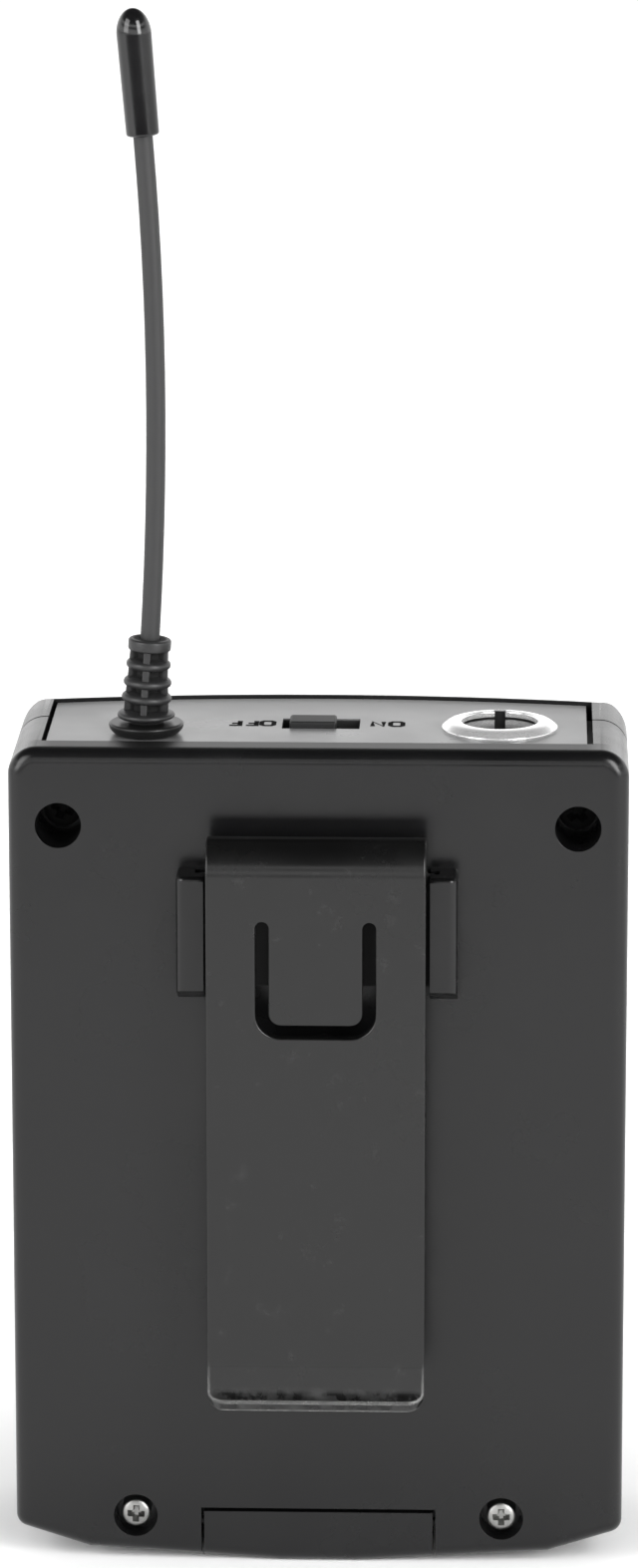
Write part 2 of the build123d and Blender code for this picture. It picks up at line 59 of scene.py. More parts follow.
# Drawing dimensions are in millimetres: x to the right, y into the case from its back
# face (the plane BACK_Y) and z up from the foot.
CROWN_DEPTH = 27.0
BACK_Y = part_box("battery_door")[1].y - CROWN_DEPTH * MM
PANEL_TOP = 89.3
PANEL_BACK = 4.1
PARTING = 15.0
ANT_X, ANT_Y, LEAN, PIVOT_H = -18.4, 9.2, 3.6, 3.0   # antenna: place, lean in degrees, height of its hinge
BOOT_TOP = 10.3
JACK_X, JACK_Y, JACK_BORE_R = 18.9, 12.6, 4.05
JACK_TOP = PANEL_TOP + 0.9


def at(x, y, z):
    """A place in the pack's frame from drawing millimetres."""
    return Vector((x * MM, BACK_Y + y * MM, z * MM))


# ---------------------------------------------------------------- camera
CAMERA_PLACE, CAMERA_AIM = (21.45, -664.67, 249.61), (0.134, 0, 86.167)
CAMERA_LENS, CAMERA_ROLL = 150.74, -0.044

camera_data = bpy.data.cameras.new("camera")
camera_data.sensor_width = 36.0
camera_data.lens = CAMERA_LENS
camera_data.dof.use_dof = False
camera = bpy.data.objects.new("camera", camera_data)
bpy.context.scene.collection.objects.link(camera)
camera.location = at(*CAMERA_PLACE)
aim = at(*CAMERA_AIM) - camera.location
camera.rotation_euler = aim.to_track_quat("-Z", "Y").to_euler()
camera.rotation_euler.rotate_axis("Z", math.radians(CAMERA_ROLL))
camera_data.clip_start, camera_data.clip_end = 0.01, 50.0
bpy.context.scene.camera = camera


# ---------------------------------------------------------------- material helpers
def new_material(name):
    mat = bpy.data.materials.new(name)
    mat.use_nodes = True
    tree = mat.node_tree
    return mat, tree, tree.nodes["Principled BSDF"]


def add(tree, kind, **inputs):
    """A node with some of its inputs set."""
    node = tree.nodes.new(kind)
    for key, value in inputs.items():
        node.inputs[key.replace("_", " ")].default_value = value
    return node


def noise(tree, coords, scale, detail=3.0, roughness=0.55, distortion=0.0):
    node = add(tree, "ShaderNodeTexNoise", Scale=scale, Detail=detail, Roughness=roughness,
               Distortion=distortion)
    tree.links.new(coords, node.inputs["Vector"])
    return node.outputs["Fac"]


def remap(tree, value, lo, hi, to_lo, to_hi):
    node = tree.nodes.new("ShaderNodeMapRange")
    node.inputs["From Min"].default_value = lo
    node.inputs["From Max"].default_value = hi
    node.inputs["To Min"].default_value = to_lo
    node.inputs["To Max"].default_value = to_hi
    tree.links.new(value, node.inputs["Value"])
    return node.outputs["Result"]


def math_node(tree, operation, a, b):
    """Result of a sum on two numbers or sockets."""
    node = tree.nodes.new("ShaderNodeMath")
    node.operation = operation
    for socket, value in zip(node.inputs, (a, b)):
        if isinstance(value, (int, float)):
            socket.default_value = value
        else:
            tree.links.new(value, socket)
    return node.outputs[0]


def mix_colour(tree, factor, a, b):
    node = tree.nodes.new("ShaderNodeMix")
    node.data_type = "RGBA"
    tree.links.new(factor, node.inputs["Factor"])
    for socket, value in ((node.inputs[6], a), (node.inputs[7], b)):
        if isinstance(value, (tuple, list)):
            socket.default_value = (*value, 1.0)
        else:
            tree.links.new(value, socket)
    return node.outputs[2]


def edge_wear(tree, radius, lo, hi):
    """0 on flat faces, rising to 1 on outer edges."""
    bevel = add(tree, "ShaderNodeBevel", Radius=radius)
    bevel.samples = 6
    geometry = tree.nodes.new("ShaderNodeNewGeometry")
    dot = tree.nodes.new("ShaderNodeVectorMath")
    dot.operation = "DOT_PRODUCT"
    tree.links.new(bevel.outputs["Normal"], dot.inputs[0])
    tree.links.new(geometry.outputs["Normal"], dot.inputs[1])
    return remap(tree, dot.outputs["Value"], 1.0 - lo, 1.0 - hi, 0.0, 1.0)


def surface(name, colour, rough, metallic=0.0, spread=0.12, rough_spread=0.05, blotch=90.0,
            grain=3500.0, bump=0.08, bump_mm=0.02, ior=1.5, coat=0.0, coat_rough=0.1,
            stretch=(1, 1, 1), wear=None):
    """Procedural surface: mottled colour, uneven gloss and a fine grain, optionally worn on its edges."""
    mat, tree, shader = new_material(name)
    place = tree.nodes.new("ShaderNodeTexCoord")
    mapping = tree.nodes.new("ShaderNodeMapping")
    mapping.inputs["Scale"].default_value = stretch
    tree.links.new(place.outputs["Object"], mapping.inputs["Vector"])
    coords = mapping.outputs["Vector"]
    patches = noise(tree, coords, blotch, 4.0)
    fine = noise(tree, coords, grain, 2.0)
    dark = tuple(c * (1 - spread) for c in colour)
    light = tuple(min(1.0, c * (1 + spread)) for c in colour)
    base = mix_colour(tree, remap(tree, patches, 0.3, 0.7, 0.0, 1.0), dark, light)
    gloss = remap(tree, patches, 0.3, 0.7, rough - rough_spread, rough + rough_spread)
    if wear:
        radius, lo, hi, worn_colour, worn_rough = wear
        edges = edge_wear(tree, radius * MM, lo, hi)
        broken = remap(tree, noise(tree, coords, 1400.0, 4.0, 0.65), 0.38, 0.62, 0.15, 1.0)
        amount = math_node(tree, "MULTIPLY", edges, broken)
        base = mix_colour(tree, amount, base, worn_colour)
        gloss = mix_value(tree, amount, gloss, worn_rough)
    tree.links.new(base, shader.inputs["Base Color"])
    tree.links.new(gloss, shader.inputs["Roughness"])
    shader.inputs["Metallic"].default_value = metallic
    shader.inputs["IOR"].default_value = ior
    shader.inputs["Coat Weight"].default_value = coat
    shader.inputs["Coat Roughness"].default_value = coat_rough
    if bump:
        relief = add(tree, "ShaderNodeBump", Strength=bump, Distance=bump_mm * MM)
        tree.links.new(fine, relief.inputs["Height"])
        tree.links.new(relief.outputs["Normal"], shader.inputs["Normal"])
    return mat


def mix_value(tree, factor, a, b):
    node = tree.nodes.new("ShaderNodeMix")
    node.data_type = "FLOAT"
    tree.links.new(factor, node.inputs[0])
    for socket, value in ((node.inputs[2], a), (node.inputs[3], b)):
        if isinstance(value, (int, float)):
            socket.default_value = value
        else:
            tree.links.new(value, socket)
    return node.outputs[0]


def overlay(mat, factor, colour, rough):
    """Puts another colour and roughness over a surface where factor is 1."""
    tree = mat.node_tree
    shader = tree.nodes["Principled BSDF"]
    for socket_name, mixer, value in (("Base Color", mix_colour, colour), ("Roughness", mix_value, rough)):
        under = shader.inputs[socket_name].links[0].from_socket
        tree.links.new(mixer(tree, factor, under, value), shader.inputs[socket_name])


def ramp_mask(mat, axis, lo, hi):
    """0 to 1 between two places along an axis, in drawing millimetres."""
    tree = mat.node_tree
    place = tree.nodes.new("ShaderNodeTexCoord")
    split = tree.nodes.new("ShaderNodeSeparateXYZ")
    tree.links.new(place.outputs["Object"], split.inputs["Vector"])
    offset = BACK_Y if axis == "Y" else 0.0
    return remap(tree, split.outputs[axis], offset + lo * MM, offset + hi * MM, 0.0, 1.0)


def axis_mask(mat, x, y, lean, z_foot, lo, hi):
    """0 to 1 between two distances from an upright axis that may lean in x."""
    tree = mat.node_tree
    place = tree.nodes.new("ShaderNodeTexCoord")
    split = tree.nodes.new("ShaderNodeSeparateXYZ")
    tree.links.new(place.outputs["Object"], split.inputs["Vector"])
    foot = at(x, y, z_foot)
    rise = math_node(tree, "SUBTRACT", split.outputs["Z"], foot.z)
    along = math_node(tree, "SUBTRACT", math_node(tree, "SUBTRACT", split.outputs["X"], foot.x),
                      math_node(tree, "MULTIPLY", rise, math.tan(math.radians(lean))))
    deep = math_node(tree, "SUBTRACT", split.outputs["Y"], foot.y)
    squared = math_node(tree, "ADD", math_node(tree, "MULTIPLY", along, along),
                        math_node(tree, "MULTIPLY", deep, deep))
    return remap(tree, math_node(tree, "SQRT", squared, 0.0), lo * MM, hi * MM, 0.0, 1.0)


def where_all(mat, *masks):
    """1 where every mask is 1."""
    joint = masks[0]
    for other in masks[1:]:
        joint = math_node(mat.node_tree, "MULTIPLY", joint, other)
    return joint


def grey(level):
    return (level, level, level)


MATERIALS = {
    "shell_plastic": surface("shell_plastic", (0.0034, 0.0034, 0.0036), 0.25, bump=0.06, ior=1.41),
    "panel_plastic": surface("panel_plastic", (0.135, 0.135, 0.136), 0.3, spread=0.05, bump=0.05),
    "knob_plastic": surface("knob_plastic", (0.010, 0.010, 0.0102), 0.5, ior=1.36),
    "switch_frame": surface("switch_frame", grey(0.012), 0.6, ior=1.3),
    "socket_metal": surface("socket_metal", grey(0.93), 0.22, metallic=0.75, spread=0.03),
    "nut_metal": surface("nut_metal", (0.6, 0.6, 0.58), 0.3, metallic=1.0),
    "insulator": surface("insulator", grey(0.012), 0.4),
    "pin_metal": surface("pin_metal", (0.83, 0.68, 0.35), 0.22, metallic=1.0),
    "antenna_rubber": surface("antenna_rubber", (0.014, 0.014, 0.0144), 0.42, bump=0.12, ior=1.45),
    "whip_jacket": surface("whip_jacket", (0.022, 0.022, 0.0224), 0.5, bump=0.1, ior=1.4, stretch=(1, 1, 0.15)),
    "tip_gloss": surface("tip_gloss", (0.005, 0.005, 0.0053), 0.14, coat=0.0, coat_rough=0.05),
    "antenna_brass": surface("antenna_brass", (0.7, 0.55, 0.28), 0.3, metallic=1.0),
    "clip_steel": surface("clip_steel", grey(0.0025), 0.25, spread=0.25, ior=1.45,
                          wear=(0.25, 0.02, 0.25, grey(0.09), 0.3)),
    "pcb_green": surface("pcb_green", (0.02, 0.16, 0.06), 0.35),
    "shield_tin": surface("shield_tin", (0.7, 0.7, 0.68), 0.35, metallic=1.0),
    "chip_black": surface("chip_black", grey(0.02), 0.5),
    "capacitor_can": surface("capacitor_can", (0.75, 0.75, 0.76), 0.28, metallic=1.0),
    "led_body": surface("led_body", (0.85, 0.85, 0.8), 0.2),
    "light_pipe": surface("light_pipe", (0.12, 0.13, 0.12), 0.15, bump=0),
    "screw_steel": surface("screw_steel", (0.28, 0.28, 0.272), 0.35, metallic=1.0, spread=0.25),
    "cell_jacket": surface("cell_jacket", (0.05, 0.07, 0.11), 0.25, spread=0.04, bump=0.02),
    "contact_metal": surface("contact_metal", (0.72, 0.72, 0.7), 0.3, metallic=1.0),
    "door_foam": surface("door_foam", grey(0.05), 0.9, bump=0.6, grain=1500.0, bump_mm=0.2),
}

# the clip is scuffed on its leg and matt where the case hides it; a light grey along the edges of its lip is a
# painted highlight
steel = MATERIALS["clip_steel"]
steel_tree = steel.node_tree
steel_place = steel_tree.nodes.new("ShaderNodeTexCoord").outputs["Object"]
scuffs = remap(steel_tree, noise(steel_tree, steel_place, 300.0, 7.0, 0.75), 0.58, 0.74, 0.0, 0.45)
overlay(steel, scuffs, grey(0.03), 0.42)
overlay(steel, ramp_mask(steel, "Y", -5.2, -3.8), grey(0.003), 0.8)
# painted highlight: light grey on the edges of the lip
lip_edge_highlight = where_all(steel, ramp_mask(steel, "Z", 25.5, 21.5), edge_wear(steel_tree, 0.5 * MM, 0.015, 0.12))
overlay(steel, lip_edge_highlight, (0.5, 0.5, 0.49), 0.35)
rub = remap(steel_tree, noise(steel_tree, steel_place, 520.0, 5.0, 0.65), 0.42, 0.66, 0.0, 0.8)
overlay(steel, where_all(steel, ramp_mask(steel, "Z", 22.9, 22.0), rub), grey(0.03), 0.4)

# painted shade: the boot's core between its webs and its foot are painted near black, where shade falls
rubber = MATERIALS["antenna_rubber"]
overlay(rubber, axis_mask(rubber, ANT_X, ANT_Y, LEAN, PANEL_TOP + PIVOT_H, 1.85, 1.55), grey(0.002), 0.9)
overlay(rubber, ramp_mask(rubber, "Z", 90.12, 89.9), grey(0.002), 0.8)

# the panel's grey finish is only on its face; towards the front of the case it is painted lighter, a painted light
# there
panel = MATERIALS["panel_plastic"]
overlay(panel, ramp_mask(panel, "Z", 89.2, 89.08), grey(0.004), 0.6)
panel_far_painted_light = math_node(panel.node_tree, "MULTIPLY", ramp_mask(panel, "Y", 18.0, 25.5), 0.85)
overlay(panel, panel_far_painted_light, (0.24, 0.24, 0.241), 0.5)

# painted shade: the socket is darkened in its groove, deep down its wall and in the upper part of its keyway
chrome = MATERIALS["socket_metal"]
inside = axis_mask(chrome, JACK_X, JACK_Y, 0.0, PANEL_TOP, 4.35, 4.28)
groove = where_all(chrome, ramp_mask(chrome, "Z", 89.62, 89.56), ramp_mask(chrome, "Z", 89.22, 89.28))
overlay(chrome, where_all(chrome, inside, groove), grey(0.01), 0.6)
overlay(chrome, where_all(chrome, inside, ramp_mask(chrome, "Z", 88.9, 88.2)), grey(0.16), 0.35)
key = where_all(chrome, axis_mask(chrome, JACK_X, JACK_Y, 0.0, PANEL_TOP, 4.85, 4.80),
                ramp_mask(chrome, "Y", JACK_Y + 4.06, JACK_Y + 4.10), ramp_mask(chrome, "Z", 90.12, 90.08))
overlay(chrome, key, grey(0.02), 0.6)

# painted shadow in the seam of the mouldings; the rim beside the panel is rougher and painted a little darker, a
# painted shade
shell = MATERIALS["shell_plastic"]
seam = where_all(shell, ramp_mask(shell, "Y", PARTING - 0.20, PARTING - 0.14),
                 ramp_mask(shell, "Y", PARTING + 0.24, PARTING + 0.18))
overlay(shell, seam, grey(0.001), 0.95)
rim = where_all(shell, ramp_mask(shell, "Y", PANEL_BACK + 0.2, PANEL_BACK), ramp_mask(shell, "Z", 89.45, 89.6),
                ramp_mask(shell, "X", -31.0, -28.0), ramp_mask(shell, "X", 31.0, 28.0))
overlay(shell, rim, grey(0.003), 0.42)

flange_rubber = surface("flange_rubber", grey(0.005), 0.36, bump=0.1, ior=1.4)
mark_ink = surface("mark_ink", grey(0.006), 0.9, bump=0, ior=1.12)
hinge_steel = surface("hinge_steel", grey(0.03), 0.45, metallic=1.0)
for row in frame["record"]["subparts"]:
    mesh = NODES[row["node"]].data
    mesh.materials.clear()
    mesh.materials.append(hinge_steel if row["node"] == "hinge_pin" else MATERIALS[row["material_slot"]])

# ---------------------------------------------------------------- mesh helpers
ROUND_STEPS = 3


def piece(name, bm, slot, body=None, nodes=(), sharp=32.0):
    """A finished piece in drawing millimetres, placed in the pack's frame."""
    bmesh.ops.recalc_face_normals(bm, faces=bm.faces)
    bm.transform(Matrix.Translation(at(0, 0, 0)) @ Matrix.Scale(MM, 4))
    mesh = bpy.data.meshes.new(name)
    bm.to_mesh(mesh)
    bm.free()
    mesh.shade_smooth()
    mesh.set_sharp_from_angle(angle=math.radians(sharp))
    mesh.materials.append(MATERIALS[slot])
    ob = bpy.data.objects.new(name, mesh)
    bpy.context.scene.collection.objects.link(ob)
    weighted = ob.modifiers.new("even_shading", "WEIGHTED_NORMAL")
    weighted.keep_sharp = True
    if nodes:
        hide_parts(*nodes)
    if body:
        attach(ob, body)
    return ob


def corner_arc(cx, cy, radius, a0, a1, steps=6):
    """Points on an arc, degrees from the x axis."""
    return [(cx + radius * math.cos(math.radians(a0 + (a1 - a0) * i / steps)),
             cy + radius * math.sin(math.radians(a0 + (a1 - a0) * i / steps))) for i in range(steps + 1)]


def inset(points, distance):
    """Closed outline moved to its left by a distance."""
    moved = []
    for i, (x, y) in enumerate(points):
        before, after = Vector(points[i - 1]), Vector(points[(i + 1) % len(points)])
        here = Vector((x, y))
        d0, d1 = (here - before).normalized(), (after - here).normalized()
        n0, n1 = Vector((-d0.y, d0.x)), Vector((-d1.y, d1.x))
        step = (n0 + n1) / max(0.3, 1.0 + n0.dot(n1)) * distance
        moved.append((x + step.x, y + step.y))
    return moved


def plate(bm, loops, low, high, radius):
    """Flat plate with rounded edges from outlines that keep the material on their left."""
    middle, half = (low + high) / 2, (high - low) / 2
    angles = [math.radians(90.0 * k / ROUND_STEPS) for k in range(ROUND_STEPS + 1)]
    levels = [(radius * (1 - math.sin(a)), half - radius * (1 - math.cos(a))) for a in angles]
    levels += [(d, -h) for d, h in reversed(levels)]
    tops, bottoms = [], []
    for loop in loops:
        rings = [[bm.verts.new((x, y, middle + h)) for x, y in inset(loop, d)] for d, h in levels]
        for upper, lower in zip(rings, rings[1:]):
            for i in range(len(loop)):
                bm.faces.new((upper[i - 1], upper[i], lower[i], lower[i - 1]))
        tops.append(rings[0])
        bottoms.append(rings[-1])
    for caps in (tops, bottoms):
        flat = [v for ring in caps for v in ring]
        for triangle in tessellate_polygon([[v.co.copy() for v in ring] for ring in caps]):
            bm.faces.new([flat[i] for i in triangle])


def lathe(bm, profile, place=None, segments=64):
    """Closed surface of revolution about z from (radius, height) points; ends on the axis close it."""
    made, rings = [], []
    for radius, height in profile:
        if radius < 1e-6:
            ring = [bm.verts.new((0, 0, height))]
        else:
            ring = [bm.verts.new((radius * math.cos(2 * math.pi * i / segments),
                                  radius * math.sin(2 * math.pi * i / segments), height))
                    for i in range(segments)]
        rings.append(ring)
        made += ring
    for low, high in zip(rings, rings[1:]):
        for i in range(segments):
            face = [low[i - 1], low[i], high[i], high[i - 1]] if len(low) > 1 and len(high) > 1 else (
                [low[0], high[i], high[i - 1]] if len(low) == 1 else [low[i - 1], low[i], high[0]])
            bm.faces.new(face)
    if place:
        for v in made:
            v.co = place @ v.co
    return made


# ---------------------------------------------------------------- belt clip: one bent strip of spring steel
CLIP_HALF, CLIP_T, EDGE_R = 11.43, 1.3, 0.22
ANCHOR_Y, ANCHOR_FOOT, FOLD_Z = -1.65, 64.9, 78.0
LEG_FOOT, FOLD_R = 25.1, 2.85
# runs of the strip's middle line: length, and turn in degrees (towards the case is positive)
RUNS = ((FOLD_Z - ANCHOR_FOOT, 0), (math.pi * FOLD_R, 180), (FOLD_Z - LEG_FOOT, 0),
        (0.45, -12), (2.3, 0), (2.2, -58))
S_LEG = RUNS[0][0] + RUNS[1][0]
S_END = sum(length for length, _ in RUNS)


def bent(x, s, h):
    """Strip coordinates (across, along, out of the strip) to the folded clip."""
    y, z, heading = ANCHOR_Y, ANCHOR_FOOT, math.radians(90)
    for i, (length, turn) in enumerate(RUNS):
        run = s if i == len(RUNS) - 1 else min(s, length)
        if turn:
            radius = length / math.radians(turn)
            after = heading + run / radius
            y += radius * (math.sin(after) - math.sin(heading))
            z += radius * (math.cos(heading) - math.cos(after))
            heading = after
        else:
            y += run * math.cos(heading)
            z += run * math.sin(heading)
        s -= run
        if s <= 1e-9:
            break
    return Vector((x, y + h * math.sin(heading), z - h * math.cos(heading)))


def leg_s(z):
    """Place along the strip of a height on the leg."""
    return S_LEG + FOLD_Z - z


TAB_HALF, TAB_TOP, FOOT_R, LIP_CORNER = 12.5, 12.0, 0.6, 1.9
clip_outline = corner_arc(TAB_HALF - FOOT_R, FOOT_R, FOOT_R, -90, 0)
clip_outline += corner_arc(TAB_HALF - 0.4, TAB_TOP - 0.4, 0.4, 0, 90)
clip_outline += corner_arc(CLIP_HALF + 0.4, TAB_TOP + 0.4, 0.4, 270, 180)
clip_outline += corner_arc(CLIP_HALF - LIP_CORNER, S_END - LIP_CORNER, LIP_CORNER, 0, 90, 8)
clip_outline += [(-x, s) for x, s in reversed(clip_outline)]
ARM_OUT, ARM_IN, ARM_Z, U_FOOT = 6.25, 4.9, 72.6, 60.8
ARM_MID, ARM_R = (ARM_OUT + ARM_IN) / 2, (ARM_OUT - ARM_IN) / 2
slot_half = [(0.0, leg_s(U_FOOT))]
slot_half += corner_arc(ARM_OUT - 2.6, leg_s(U_FOOT + 2.6), 2.6, 90, 0, 8)
slot_half += corner_arc(ARM_MID, leg_s(ARM_Z), ARM_R, 0, -180, 10)
slot_half += corner_arc(ARM_IN - 1.3, leg_s(U_FOOT + 2.65), 1.3, 0, 90)
slot_half += [(0.0, leg_s(U_FOOT + 1.35))]
u_slot = slot_half + [(-x, s) for x, s in reversed(slot_half[1:-1])]
catch_hole = [(-2.6, 4.3), (-2.6, 8.1), (2.6, 8.1), (2.6, 4.3)]


def clockwise(points):
    """The outline, reversed if it runs the other way round."""
    area = sum(points[i - 1][0] * p[1] - p[0] * points[i - 1][1] for i, p in enumerate(points))
    return points if area < 0 else points[::-1]


bm = bmesh.new()
plate(bm, [clockwise(clip_outline)[::-1], clockwise(u_slot), clockwise(catch_hole)],
      -CLIP_T / 2, CLIP_T / 2, EDGE_R)
cuts, s_run = [], 0.0
for run_length, run_turn in RUNS:
    parts = max(4, round(abs(run_turn) / 6))
    cuts += [s_run + run_length * i / parts for i in range(parts)]
    s_run += run_length
for s_cut in cuts:
    bmesh.ops.bisect_plane(bm, geom=bm.verts[:] + bm.edges[:] + bm.faces[:], dist=1e-5,
                           plane_co=(0, s_cut, 0), plane_no=(0, 1, 0))
for v in bm.verts:
    v.co = bent(*v.co)
belt_clip = piece("belt_clip_strip", bm, "clip_steel", nodes=("clip_leg", "clip_anchor"), sharp=40.0)
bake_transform(belt_clip)

# ---------------------------------------------------------------- antenna boot, flange and cap
CORE_LOW, CORE_HIGH, BOOT_FOOT = 1.3, 1.12, 1.32
RINGS = ((4.07, 2.65), (5.74, 2.54), (7.67, 2.36))


def core_radius(h):
    """Radius of the boot's core at a height above the panel."""
    return CORE_LOW + (CORE_HIGH - CORE_LOW) * (h - BOOT_FOOT) / (BOOT_TOP - BOOT_FOOT)


def bead(h, radius, half=0.56, drop=0.14):
    """A thin rounded ring that droops slightly to its rim."""
    tip = radius - half * 0.8
    rim = [(x, y - drop) for x, y in corner_arc(tip, h, half * 0.8, -90, 90, 6)]
    return [(core_radius(h), h - half)] + rim + [(core_radius(h), h + half)]


boot_profile = [(0, BOOT_FOOT), (1.95, BOOT_FOOT)]
boot_profile += [(1.8, 1.48), (2.1, 1.66), (2.6, 1.78)] + corner_arc(2.74, 2.06, 0.3, -60, 100, 5)
boot_profile += [(1.9, 2.55), (1.35, 2.6)]
for ring_h, ring_r in RINGS:
    boot_profile += bead(ring_h, ring_r)
boot_profile += [(core_radius(9.0), 8.85), (1.75, 9.0)] + corner_arc(2.02, 9.3, 0.24, -70, 0, 3)
boot_profile += corner_arc(1.98, 10.02, 0.28, 0, 90, 4) + [(1.16, BOOT_TOP), (1.06, 10.15), (0, 10.15)]
bm = bmesh.new()
lathe(bm, boot_profile)
WEB_OUTLINE, WEB_HALF_T = [(0.9, 2.3), (2.35, 2.3), (2.28, 4.0), (2.12, 6.0), (2.0, 9.2), (0.9, 9.2)], 0.36
for turn in (-94, -4, 86, 176):
    part = bmesh.new()
    plate(part, [WEB_OUTLINE], -WEB_HALF_T, WEB_HALF_T, 0.14)
    part.transform(Matrix.Rotation(math.radians(turn), 4, "Z") @ Matrix.Rotation(math.radians(90), 4, "X"))
    web_mesh = bpy.data.meshes.new("web")
    part.to_mesh(web_mesh)
    part.free()
    bm.from_mesh(web_mesh)
    bpy.data.meshes.remove(web_mesh)
for v in bm.verts:
    rise = v.co.z - PIVOT_H
    tilt = math.radians(LEAN) * min(1.0, max(0.0, rise + 1.0))   # the last millimetre below the hinge eases in
    v.co = Vector((ANT_X + v.co.x * math.cos(tilt) + rise * math.sin(tilt), ANT_Y + v.co.y,
                   PANEL_TOP + PIVOT_H + rise * math.cos(tilt) - v.co.x * math.sin(tilt)))
boot = piece("antenna_ribbed_boot", bm, "antenna_rubber",
             nodes=("antenna_boot_root", "antenna_boot"), sharp=50.0)
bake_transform(boot)

# long-domed cap at the end of the bowed whip
BOW_LOW, BOW_HIGH, END_TILT = 390.0, 360.0, math.radians(4.58)
lean, straight = math.radians(LEAN), BOOT_TOP - PIVOT_H
cap_x = ANT_X + straight * math.sin(lean) + BOW_LOW * (1 - math.cos(lean)) - BOW_HIGH * (1 - math.cos(END_TILT))
cap_z = (PANEL_TOP + PIVOT_H + straight * math.cos(lean) + BOW_LOW * math.sin(lean)
         + BOW_HIGH * math.sin(END_TILT))
CAP_FOOT_R, CAP_R, CAP_H, DOME_H, CAP_BORE, BORE_DEPTH = 1.72, 1.815, 13.2, 2.7, 1.04, 9.1
cap_profile = [(0, BORE_DEPTH), (CAP_BORE, BORE_DEPTH), (CAP_BORE, 0)]
cap_profile += corner_arc(CAP_FOOT_R - 0.25, 0.25, 0.25, -90, 0, 5)
cap_profile += [(CAP_R * math.cos(t), CAP_H - DOME_H + DOME_H * math.sin(t))
                for t in (math.radians(90 * i / 24) for i in range(24))] + [(0, CAP_H)]
bm = bmesh.new()
lathe(bm, cap_profile, Matrix.Translation((cap_x, ANT_Y, cap_z)) @ Matrix.Rotation(-END_TILT, 4, "Y"), 64)
piece("antenna_cap", bm, "tip_gloss", "antenna", ("antenna_tip",), sharp=50.0)

flange_profile = [(0, 0.02), (2.85, 0.02), (3.25, 0.1), (3.6, 0.32), (3.84, 0.62)]
flange_profile += corner_arc(3.7, 1.04, 0.26, -10, 90, 6) + [(3.2, 1.24), (2.6, 1.31), (0, 1.31)]
bm = bmesh.new()
lathe(bm, flange_profile, Matrix.Translation((ANT_X, ANT_Y, PANEL_TOP)), 72)
flange = piece("antenna_flange", bm, "antenna_rubber", "case", ("antenna_base",), sharp=50.0)
flange.data.materials[0] = flange_rubber

# ---------------------------------------------------------------- microphone socket
KEY_HALF = math.degrees(math.asin(0.575 / JACK_BORE_R))
KEY_R, JACK_FOOT, BEZEL_FOOT = 4.6, 82.3, PANEL_TOP + 0.01
MOUTH_FOOT = JACK_TOP - 4.1
jack_profile = [(4.9, JACK_FOOT), (5.0, JACK_FOOT + 0.1), (5.0, BEZEL_FOOT), (6.1, BEZEL_FOOT)]
jack_profile += corner_arc(6.02, PANEL_TOP + 0.18, 0.12, -30, 60, 3)
jack_profile += [(5.85, PANEL_TOP + 0.47), (5.55, PANEL_TOP + 0.68), (5.15, PANEL_TOP + 0.82),
                 (4.7, JACK_TOP - 0.02)]
mouth = [(4.25, JACK_TOP), (4.1, JACK_TOP - 0.06), (JACK_BORE_R, JACK_TOP - 0.15), (JACK_BORE_R, JACK_TOP - 0.62),
         (4.22, JACK_TOP - 0.7), (4.22, JACK_TOP - 0.92), (JACK_BORE_R, JACK_TOP - 1.0), (JACK_BORE_R, MOUTH_FOOT)]
floor_rim = [(3.3, MOUTH_FOOT), (3.3, JACK_FOOT)]
angles = [(a, False) for a in range(95, 445, 5) if 90 + KEY_HALF < a < 450 - KEY_HALF]
angles = [(90 + KEY_HALF, False)] + angles + [(450 - KEY_HALF, False)]
angles += [(450 - KEY_HALF, True), (450, True), (450 + KEY_HALF, True)]
bm = bmesh.new()
columns = []
for degrees, keyed in angles:
    a = math.radians(degrees)
    wall = [(KEY_R if keyed else r, z) for r, z in mouth]
    columns.append([bm.verts.new((JACK_X + r * math.cos(a), JACK_Y + r * math.sin(a), z))
                    for r, z in jack_profile + wall + floor_rim])
for i in range(len(columns)):
    left, right = columns[i - 1], columns[i]
    for j in range(len(left)):
        k = (j + 1) % len(left)
        bm.faces.new((left[j], right[j], right[k], left[k]))
bmesh.ops.remove_doubles(bm, verts=bm.verts, dist=1e-4)
piece("microphone_socket_ring", bm, "socket_metal", "case", ("socket_shell",), sharp=28.0)


# ---------------------------------------------------------------- cross-head screws
def scrap_object(name, bm):
    """A throwaway object from a bmesh, used only while a screw is cut."""
    mesh = bpy.data.meshes.new(name)
    bm.to_mesh(mesh)
    bm.free()
    ob = bpy.data.objects.new(name, mesh)
    bpy.context.scene.collection.objects.link(ob)
    return ob


